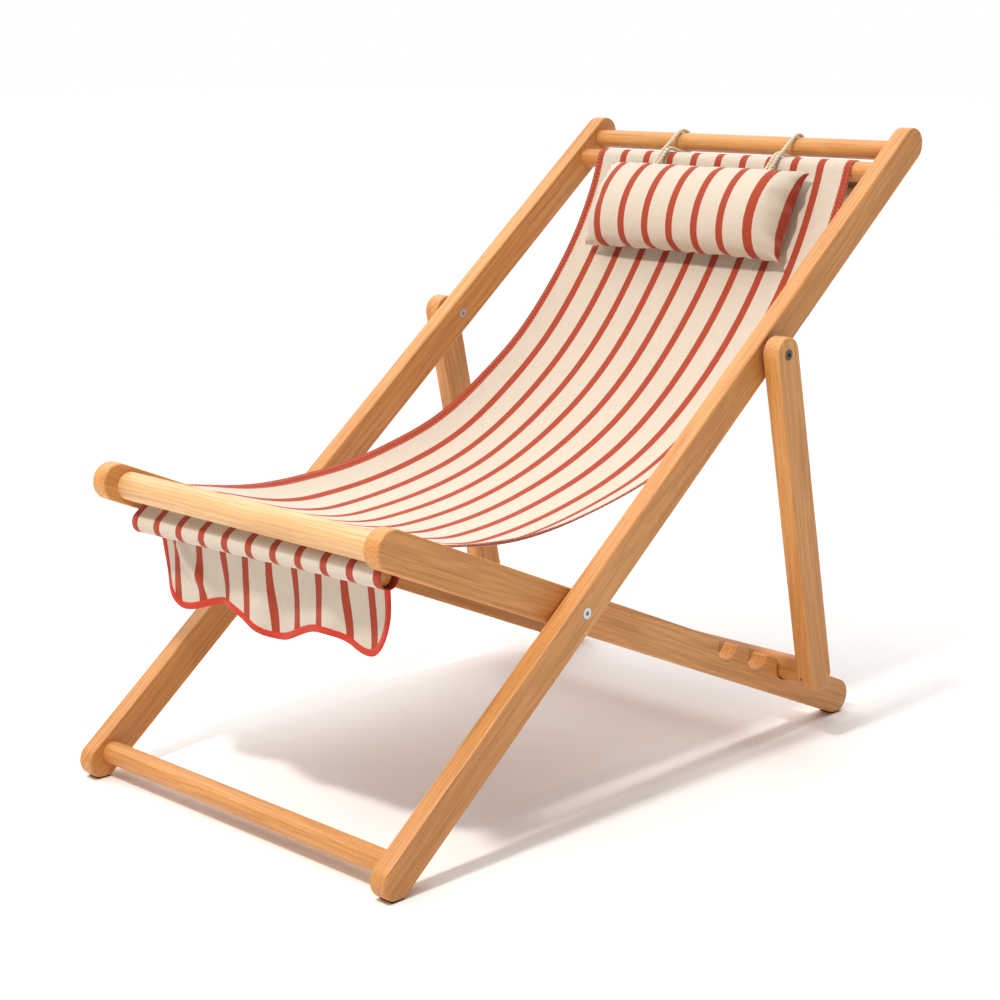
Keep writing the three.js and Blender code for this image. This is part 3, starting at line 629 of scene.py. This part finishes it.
# ---- sleeves and their dowels ----------------------------------------------------------------
def make_sleeve(name, node, start, middle, turn, tilt, body, canvas):
    """A sleeve across the whole sling; tilt is how far its right end hangs above its left end."""
    ends = [sleeve_line(start, middle + np.array([0, side * tilt / 2]), turn) for side in (-1, 1)]
    count = min(len(line) for line in ends)
    ends = [resample(line, length_of(line) / (count - 1)) for line in ends]
    x = np.linspace(-SLING_HALF, SLING_HALF, CLOTH_COLUMNS)
    share = ((x / SLING_HALF + 1) / 2)[None, :, None]
    yz = ends[0][:, None, :] * (1 - share) + ends[1][:, None, :] * share
    s = np.linspace(0, 1, len(yz))[:, None]
    loose = smoothstep(0.05, 0.4, s) * ripple(x[None, :] * 4, s * 1.2, 21) * 0.0009
    away = yz - np.array(middle)[None, None, :]
    away /= np.maximum(np.linalg.norm(away, axis=2, keepdims=True), 1e-6)
    yz = yz + away * np.maximum(loose, -0.0001)[:, :, None]
    points = np.concatenate([np.broadcast_to(x[None, :, None], (*yz.shape[:2], 1)), yz], axis=2)
    length = length_of(ends[0])
    uvs = np.stack(np.broadcast_arrays(x[None, :], s * length), axis=2)
    sleeve = cloth_from_grid(name, points, uvs)
    set_material(sleeve, canvas)
    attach(sleeve, body)
    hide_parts(node)


def make_front_dowel(middle, tilt, material):
    """The loose dowel in the front sleeve, lying at the sleeve's slight tilt, with eased ends."""
    half = FRONT_DOWEL_HALF
    ease = 0.0015
    profile = [(-half, DOWEL_RADIUS - ease), (-half + ease, DOWEL_RADIUS), (half - ease, DOWEL_RADIUS),
               (half, DOWEL_RADIUS - ease)]
    count = 40
    rings = []
    for x, radius in profile:
        lift = tilt * x / (2 * SLING_HALF)
        for a in np.linspace(0, 360, count, endpoint=False):
            y, z = middle + radius * along(a)
            rings.append((x, y, z + lift))
    faces = grid_faces(len(profile), count, closed=True)
    faces += [tuple(range(count))[::-1], tuple(range((len(profile) - 1) * count, len(profile) * count))]
    dowel = add_object("front_loose_dowel", rings, faces)
    set_material(dowel, material)
    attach(dowel, "seat_frame")
    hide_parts("front_sleeve_dowel")


# ---- valance ---------------------------------------------------------------------------------
VALANCE_HALF = 0.2035
VALANCE_DROP = 0.0925
VALANCE_BELLY = 0.015       # how much lower the middle hangs than the sides
SCALLOP_PITCH = 0.172
SCALLOP_HEIGHT = 0.0115
VALANCE_CORNER = 0.042      # how wide and how tall the rounding of a bottom corner is
VALANCE_CORNER_TALL = 0.050
FOLD_DEPTH = 0.0046         # the wide folds, and the small ones on them
FOLD_PITCH = 0.125
SMALL_FOLD_DEPTH = 0.0016
SMALL_FOLD_PITCH = 0.057
FOLD_SLANT = 0.35           # how far the folds drift to the left for each metre down
CREASE_START = -0.186       # where a sharper crease leaves the top, near the left side
CREASE_SLANT = 0.78         # and how far it runs to the right for each metre down
CREASE_DEPTH = 0.0058
CREASE_HALF = 0.012
VALANCE_LEAN = 0.005        # how far behind its top the bottom edge hangs
FRONT_TILT = 0.012          # how much higher the right end of the front sleeve hangs than the left


def valance_bottom(x):
    """Drop of the scalloped edge below the top of the valance, with its two corners rounded."""
    wave = VALANCE_DROP + SCALLOP_HEIGHT * np.cos(2 * math.pi * x / SCALLOP_PITCH)
    wave = wave + VALANCE_BELLY * (1 - (x / VALANCE_HALF) ** 2)
    past = np.clip(np.abs(x) - (VALANCE_HALF - VALANCE_CORNER), 0, VALANCE_CORNER)
    rounding = 1 - np.sqrt(np.maximum(1 - (past / VALANCE_CORNER) ** 2, 0))
    return wave - VALANCE_CORNER_TALL * rounding


def valance_point(x, drop, top):
    """A point of the hanging cloth: its folds open out towards the bottom edge."""
    x, drop = np.asarray(x, float), np.asarray(drop, float)
    open_up = smoothstep(0.0, VALANCE_DROP, drop)
    slanted = x + FOLD_SLANT * drop
    wide = FOLD_DEPTH * np.sin(2 * math.pi * slanted / FOLD_PITCH + 2.1)
    small = SMALL_FOLD_DEPTH * np.sin(2 * math.pi * slanted / SMALL_FOLD_PITCH)
    folds = wide + small
    crease_x = CREASE_START + CREASE_SLANT * drop
    crease = CREASE_DEPTH * np.exp(-((x - crease_x) / CREASE_HALF) ** 2) * smoothstep(0.0, 0.03, drop)
    crease = crease * smoothstep(VALANCE_DROP, VALANCE_DROP - 0.035, drop)
    lean = VALANCE_LEAN * open_up
    y = top[0] - open_up * folds - crease + lean
    z = top[1] - drop + FRONT_TILT * x / (2 * SLING_HALF)
    return np.stack(np.broadcast_arrays(x, y, z), axis=-1)


def valance_top():
    """Where the valance leaves the back of the front sleeve."""
    return FRONT_SLEEVE + np.array([DOWEL_RADIUS + 2 * BAR_GAP + 2.5 * CLOTH, 0.004])


def make_valance(canvas, tape):
    """The hanging cloth and the tape round its free edges."""
    top = valance_top()
    x = np.linspace(-VALANCE_HALF, VALANCE_HALF, 118)
    s = np.linspace(0, 1, 34)[:, None]
    drop = s * valance_bottom(x)[None, :]
    points = valance_point(np.broadcast_to(x[None, :], drop.shape), drop, top)
    uvs = np.stack(np.broadcast_arrays(x[None, :], drop), axis=2)
    valance = cloth_from_grid("valance_canvas", points, uvs)
    set_material(valance, canvas)
    binding = make_binding(top, tape)
    for piece, node, slot in ((valance, "valance", "canvas"), (binding, "valance_binding", "binding")):
        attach(piece, "seat_frame")
        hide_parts(node)


def valance_edge():
    """(x, drop) down the left side, along the scallops and up the right side, evenly spaced."""
    x = np.linspace(-VALANCE_HALF, VALANCE_HALF, 400)
    bottom = np.stack([x, valance_bottom(x)], axis=1)
    left = np.array([[-VALANCE_HALF, 0.0]])
    right = np.array([[VALANCE_HALF, 0.0]])
    return resample(np.concatenate([left, bottom, right]), FINE_SPACING)


def make_binding(top, tape):
    """A tape folded over the valance's edge: a flat rounded section swept along the edge."""
    edge = valance_edge()
    width, thick = 0.0086, 0.0021
    section = [(-0.55, 0), (-0.45, 0.8), (-0.1, 1.0), (0.3, 0.95), (0.45, 0.55), (0.5, 0.0),
               (0.45, -0.55), (0.3, -0.95), (-0.1, -1.0), (-0.45, -0.8)]
    outward = normals_of(edge)
    vertices, uvs = [], []
    for k, (place, out) in enumerate(zip(edge, outward)):
        middle = place - out * width * 0.42
        for across, through in section:
            x, drop = middle + out * width * across
            point = valance_point(x, max(drop, 0.0), top)
            point[1] += through * thick
            vertices.append(point)
            uvs.append((k * FINE_SPACING, across * width))
    faces = grid_faces(len(edge), len(section), closed=True)
    count = len(section)
    faces += [tuple(range(count))[::-1], tuple(range((len(edge) - 1) * count, len(edge) * count))]
    binding = add_object("valance_tape", vertices, faces, uvs)
    set_material(binding, tape)
    return binding


# ---- pillow ----------------------------------------------------------------------------------
PANEL_HALF = 4 * STRIPE_PITCH + STRIPE_HALF   # half the width of each flat panel, stripe to stripe
PANEL_END = 0.060           # how much of a panel's width curves round to the side seam
PILLOW_HALF = 0.171         # half the width between the side seams of the stuffed pillow
PILLOW_TALL = 0.1306
PANEL_TALL = 0.182
PILLOW_FRONT = 0.046
PILLOW_BACK = 0.017
PILLOW_SLUMP = 0.11         # how much more the lower half of the front stands out
PILLOW_GAP = 0.003          # between the taut sling and the pillow's back
PILLOW_CLEARANCE = 0.0042   # least height of a point of the pillow above the taut sling's line
SEAM_BOW = 0.0065           # how far the middle of a side seam bows in
CORNER_REACH = 0.004        # how far its two corners stand out
PUCKER_SIDEWAYS = 0.0020
PUCKER_OUT = 0.0026
GATHER = 0.0008             # the small gathers along the top and bottom seams
STUFFING_PRESSURE = 2.5
STUFFING_FRAMES = 14
SETTLE_CAP = 0.006          # no point moves further than this in the simulation


def pillow_point(u, t, depth):
    """A point of the stuffed pillow; u runs across the flat panel, t from -1 to 1 up it.

    Up its height a panel follows half an ellipse that depth gives the sign and size of. Towards a
    side seam it rounds off, and the seam bows in and puckers between its two corners.
    """
    swing = math.pi / 2 * t
    crown = np.cos(swing)
    plain = PANEL_HALF - PANEL_END
    turning = np.clip((np.abs(u) - plain) / PANEL_END, 0, 1)
    ending = turning * math.pi / 2
    bow = SEAM_BOW * crown - CORNER_REACH * (1 - crown) ** 2
    x = np.minimum(np.abs(u), plain) + (PILLOW_HALF - bow - plain) * np.sin(ending)
    stand = depth * crown * np.cos(ending) ** 0.85 * (1 - PILLOW_SLUMP * np.sin(swing))
    pucker = np.sin(2 * math.pi * t / 0.46 + 0.8 + u * 9) + 0.6 * np.sin(2 * math.pi * t / 0.29 + u * 4)
    pucker = pucker * turning ** 2 * crown ** 0.5
    gather = GATHER * np.sin(2 * math.pi * u / 0.031 + 3 * np.sin(u * 50)) * np.abs(np.sin(swing)) ** 12
    return np.stack([np.sign(u) * (x + PUCKER_SIDEWAYS * pucker),
                     PILLOW_TALL / 2 * np.sin(swing) + gather,
                     stand + PUCKER_OUT * pucker + gather * crown], axis=-1)


def pillow_panels():
    """Two panels sewn together along their edges, as one closed mesh, already shaped."""
    columns, rows = 121, 48
    u = np.linspace(-PANEL_HALF, PANEL_HALF, columns)
    t = np.linspace(-1, 1, rows)
    vertices, uvs, index = [], [], {}
    for face, depth in enumerate((PILLOW_FRONT, -PILLOW_BACK)):
        for r in range(rows):
            for c in range(columns):
                edge = r in (0, rows - 1) or c in (0, columns - 1)
                if edge and face:
                    index[face, r, c] = index[0, r, c]
                    continue
                index[face, r, c] = len(vertices)
                vertices.append(pillow_point(u[c], t[r], depth))
                uvs.append((u[c], t[r] * PANEL_TALL / 2))
    faces = []
    for r in range(rows - 1):
        for c in range(columns - 1):
            corners = [(r, c), (r, c + 1), (r + 1, c + 1), (r + 1, c)]
            faces.append([index[0, a, b] for a, b in corners])
            faces.append([index[1, a, b] for a, b in reversed(corners)])
    return add_object("pillow_cover", vertices, faces, uvs)


def inflate(piece):
    """Stuffs a closed cloth: the Cloth simulation with pressure and no gravity, then applied."""
    cloth = piece.modifiers.new("stuffing", "CLOTH")
    settings = cloth.settings
    settings.quality = 6
    settings.mass = 0.25
    settings.tension_stiffness = 40
    settings.compression_stiffness = 40
    settings.shear_stiffness = 20
    settings.bending_stiffness = 0.6
    settings.use_pressure = True
    settings.uniform_pressure_force = STUFFING_PRESSURE
    settings.effector_weights.gravity = 0
    cloth.point_cache.frame_start = 1
    cloth.point_cache.frame_end = STUFFING_FRAMES
    for number in range(1, STUFFING_FRAMES + 1):
        bpy.context.scene.frame_set(number)
    bake_modifiers(piece)
    bpy.context.scene.frame_set(1)


def points_of(piece):
    """The places of a mesh's vertices, as an array."""
    points = np.zeros(len(piece.data.vertices) * 3)
    piece.data.vertices.foreach_get("co", points)
    return points.reshape(-1, 3)


def let_settle(piece):
    """The points of a cloth that finds its own creases under pressure, each moved only a little."""
    before = points_of(piece)
    inflate(piece)
    moved = points_of(piece) - before
    moved -= moved.mean(axis=0)
    distance = np.linalg.norm(moved, axis=1, keepdims=True)
    return before + moved * np.minimum(1, SETTLE_CAP / np.maximum(distance, 1e-9))


def place_on_sling(points):
    """Lays the pillow on the sling and keeps its back off the cloth."""
    line = bezier(SLING_CURVE, np.linspace(0, 1, 400))
    place = bezier(SLING_CURVE, [PILLOW_ALONG_SLING])[0]
    k = int(PILLOW_ALONG_SLING * 399)
    tangent = line[k + 1] - line[k - 1]
    tangent /= np.linalg.norm(tangent)
    normal = np.array([-tangent[1], tangent[0]])
    seam = place + normal * (PILLOW_BACK + PILLOW_GAP)
    yz = seam + points[:, 1:2] * tangent + points[:, 2:3] * normal
    line = sling_line()
    normals = normals_of(line)
    nearest = np.argmin(((yz[:, None, :] - line[None, :, :]) ** 2).sum(axis=2), axis=1)
    height = ((yz - line[nearest]) * normals[nearest]).sum(axis=1)
    short = np.maximum(PILLOW_CLEARANCE - height, 0)
    yz = yz + normals[nearest] * short[:, None]
    return np.column_stack([points[:, 0] + PILLOW_X, yz])


def make_pillow(canvas):
    """The stuffed head pillow, laid on the sling below the top bar."""
    pillow = pillow_panels()
    points = let_settle(pillow)
    placed = place_on_sling(points)
    pillow.data.vertices.foreach_set("co", placed.ravel())
    pillow.data.update()
    smooth = pillow.modifiers.new("smooth", "SUBSURF")
    smooth.levels = smooth.render_levels = 1
    bake_modifiers(pillow)
    pillow.data.shade_smooth()
    set_material(pillow, canvas)
    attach(pillow, "back_frame")
    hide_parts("pillow")


# ---- rope loops ------------------------------------------------------------------------------
LOOP_X = 0.0985
ROPE_RADIUS = 0.003
STRAND_SPACING = 0.0066     # between the rope that goes up and the rope that comes back
ROPE_SPACING = 0.0015       # between points along the rope


def loop_route(side):
    """From the pillow's top seam over the top rail, round it and back between the two bars."""
    t = bezier(SLING_CURVE, [PILLOW_ALONG_SLING - 0.002, PILLOW_ALONG_SLING, PILLOW_ALONG_SLING + 0.002])
    tangent = (t[2] - t[0]) / np.linalg.norm(t[2] - t[0])
    normal = np.array([-tangent[1], tangent[0]])
    seam = t[1] + normal * (PILLOW_BACK + PILLOW_GAP) + tangent * (PILLOW_TALL / 2 - 0.002)
    over_bar = SLING_BAR_RADIUS + 2 * BAR_GAP + CLOTH + ROPE_RADIUS + 0.0008
    over_rail = TOP_RAIL_RADIUS + BAR_GAP + ROPE_RADIUS
    gap = np.linalg.norm(TOP_RAIL - TOP_SLING_BAR)
    from_bar = seam - TOP_SLING_BAR
    leaves = angle_of(from_bar) % 360 - math.degrees(math.acos(over_bar / np.linalg.norm(from_bar)))
    outer = BACK_LEAN + math.degrees(math.acos((over_bar - over_rail) / gap))
    crossed = BACK_LEAN + math.degrees(math.acos((over_bar + over_rail) / gap))
    up = [seam] + arc(TOP_SLING_BAR, over_bar, leaves, outer, 6)
    around = arc(TOP_RAIL, over_rail, outer, crossed - 180, 20)
    back = arc(TOP_SLING_BAR, over_bar, crossed, leaves, 8) + [seam]
    half = STRAND_SPACING / 2
    turn = half * (1 - 2 * smoothstep(0, 1, np.linspace(0, 1, len(around))))
    x = np.concatenate([np.full(len(up), half), turn, np.full(len(back), -half)])
    route = np.column_stack([side * (LOOP_X + x), np.array(up + around + back)])
    return resample(route, ROPE_SPACING)


def rope_mesh(name, route):
    """Three strands twisted about the route."""
    strand_radius = 0.00155
    offset = ROPE_RADIUS - strand_radius
    lay = 0.018              # length of one full twist
    tangent = tangents_of(route)
    side = np.array([1.0, 0, 0]) - tangent * tangent[:, :1]
    side /= np.linalg.norm(side, axis=1)[:, None]
    up = np.cross(tangent, side)
    distance = np.concatenate([[0], np.cumsum(np.linalg.norm(np.diff(route, axis=0), axis=1))])
    vertices, faces, ring = [], [], 8
    for strand in range(3):
        twist = 2 * math.pi * (distance / lay + strand / 3)
        core = route + offset * (np.cos(twist)[:, None] * side + np.sin(twist)[:, None] * up)
        base = len(vertices)
        for k in range(len(core)):
            for a in np.linspace(0, 2 * math.pi, ring, endpoint=False):
                out = math.cos(a) * side[k] + math.sin(a) * up[k]
                vertices.append(core[k] + strand_radius * out)
        faces += [tuple(base + i for i in face) for face in grid_faces(len(core), ring, closed=True)]
        faces.append(tuple(base + i for i in range(ring))[::-1])
        faces.append(tuple(base + (len(core) - 1) * ring + i for i in range(ring)))
    return add_object(name, vertices, faces)


def make_loops():
    """The two rope loops that hang the pillow from the top rail, at their real length."""
    rope = rope_material()
    for name, side in (("left", -1), ("right", 1)):
        route = loop_route(side)
        piece = rope_mesh(f"rope_loop_{name}", route)
        set_material(piece, rope)
        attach(piece, "back_frame")
        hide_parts(f"pillow_loop_{name}")


# ---- floor and light -------------------------------------------------------------------------
def make_floor():
    """A plain pale floor, far larger than any view of the chair."""
    size = 40.0
    floor = add_object("floor", [(-size, -size, 0), (size, -size, 0), (size, size, 0), (-size, size, 0)],
                       [(0, 1, 2, 3)])
    nodes = Nodes("floor_paper")
    coordinates = nodes.add("ShaderNodeTexCoord").outputs["Object"]
    grain = nodes.noise(coordinates, 60.0, 2.0)
    colour = nodes.mix(grain, srgb(250, 249, 248), srgb(253, 252, 251))
    set_material(floor, nodes.finish(colour, 0.95))


def add_light(name, place, aim, size, watts, colour):
    """A round lamp that the camera doesn't see."""
    data = bpy.data.lights.new(name, "AREA")
    data.shape = "DISK"
    data.size = size
    data.energy = watts
    data.color = colour
    light = bpy.data.objects.new(name, data)
    light.visible_camera = False
    light.location = place
    light.rotation_euler = (Vector(aim) - Vector(place)).to_track_quat("-Z", "Y").to_euler()
    bpy.context.scene.collection.objects.link(light)


def add_sky(colour, strength):
    """Dim even light from all round, in front of a white backdrop."""
    world = bpy.data.worlds.new("studio")
    world.use_nodes = True
    tree = world.node_tree
    dim = tree.nodes["Background"]
    dim.inputs["Color"].default_value = colour
    dim.inputs["Strength"].default_value = strength
    backdrop = tree.nodes.new("ShaderNodeBackground")
    backdrop.inputs["Color"].default_value = (1, 1, 1, 1)
    seen = tree.nodes.new("ShaderNodeLightPath")
    choice = tree.nodes.new("ShaderNodeMixShader")
    tree.links.new(seen.outputs["Is Camera Ray"], choice.inputs[0])
    tree.links.new(dim.outputs[0], choice.inputs[1])
    tree.links.new(backdrop.outputs[0], choice.inputs[2])
    tree.links.new(choice.outputs[0], tree.nodes["World Output"].inputs["Surface"])
    bpy.context.scene.world = world


def add_overhead(strength, spread, towards):
    """A very large soft box, as light from one direction that is spread over a wide angle."""
    data = bpy.data.lights.new("overhead", "SUN")
    data.energy = strength
    data.angle = math.radians(spread)
    light = bpy.data.objects.new("overhead", data)
    light.rotation_euler = Vector(towards).to_track_quat("-Z", "Y").to_euler()
    bpy.context.scene.collection.objects.link(light)


SKY_COLOUR = (1, 0.98, 0.96, 1)
SKY_STRENGTH = 0.25
OVERHEAD_STRENGTH = 3.0
OVERHEAD_SPREAD = 95        # degrees
OVERHEAD_TOWARDS = (0.45, -0.12, -0.88)
KEY_PLACE = (0.25, -1.6, 2.6)
KEY_AIM = (0, 0.05, 0.3)
KEY_SIZE = 0.26
KEY_WATTS = 46
KEY_COLOUR = (1.0, 0.96, 0.90)


def light_scene():
    """A small key light above the front, a soft box up on the left and a dim room."""
    add_sky(SKY_COLOUR, SKY_STRENGTH)
    add_overhead(OVERHEAD_STRENGTH, OVERHEAD_SPREAD, OVERHEAD_TOWARDS)
    add_light("key", KEY_PLACE, KEY_AIM, KEY_SIZE, KEY_WATTS, KEY_COLOUR)
    bpy.context.scene.view_settings.view_transform = "Standard"


# ---- the whole chair; the camera and the cords come first -------------------------------------
make_camera()
make_loops()
paint_wood()
paint_hardware()
striped = canvas_material()
make_sling(striped, thread_material())
gap_side = arc(FRONT_SLING_BAR, WRAP, 180 - SEAT_SLOPE, 180 - SEAT_SLOPE + 14, 3)
make_sleeve("front_sleeve_canvas", "front_sleeve", gap_side, FRONT_SLEEVE, 1, FRONT_TILT,
            "seat_frame", striped)
dowel_wood = wood_material("teak_front_dowel", middle_of("front_sleeve_dowel"), 0, 41, along_x=True)
make_front_dowel(FRONT_SLEEVE, FRONT_TILT, dowel_wood)
rail_side = arc(TOP_SLING_BAR, WRAP, BACK_LEAN, 0, 5)
make_sleeve("rear_sleeve_canvas", "rear_sleeve", rail_side, REAR_SLEEVE, -1, 0.0,
            "back_frame", striped)
make_valance(striped, tape_material())
make_pillow(striped)
make_floor()
light_scene()
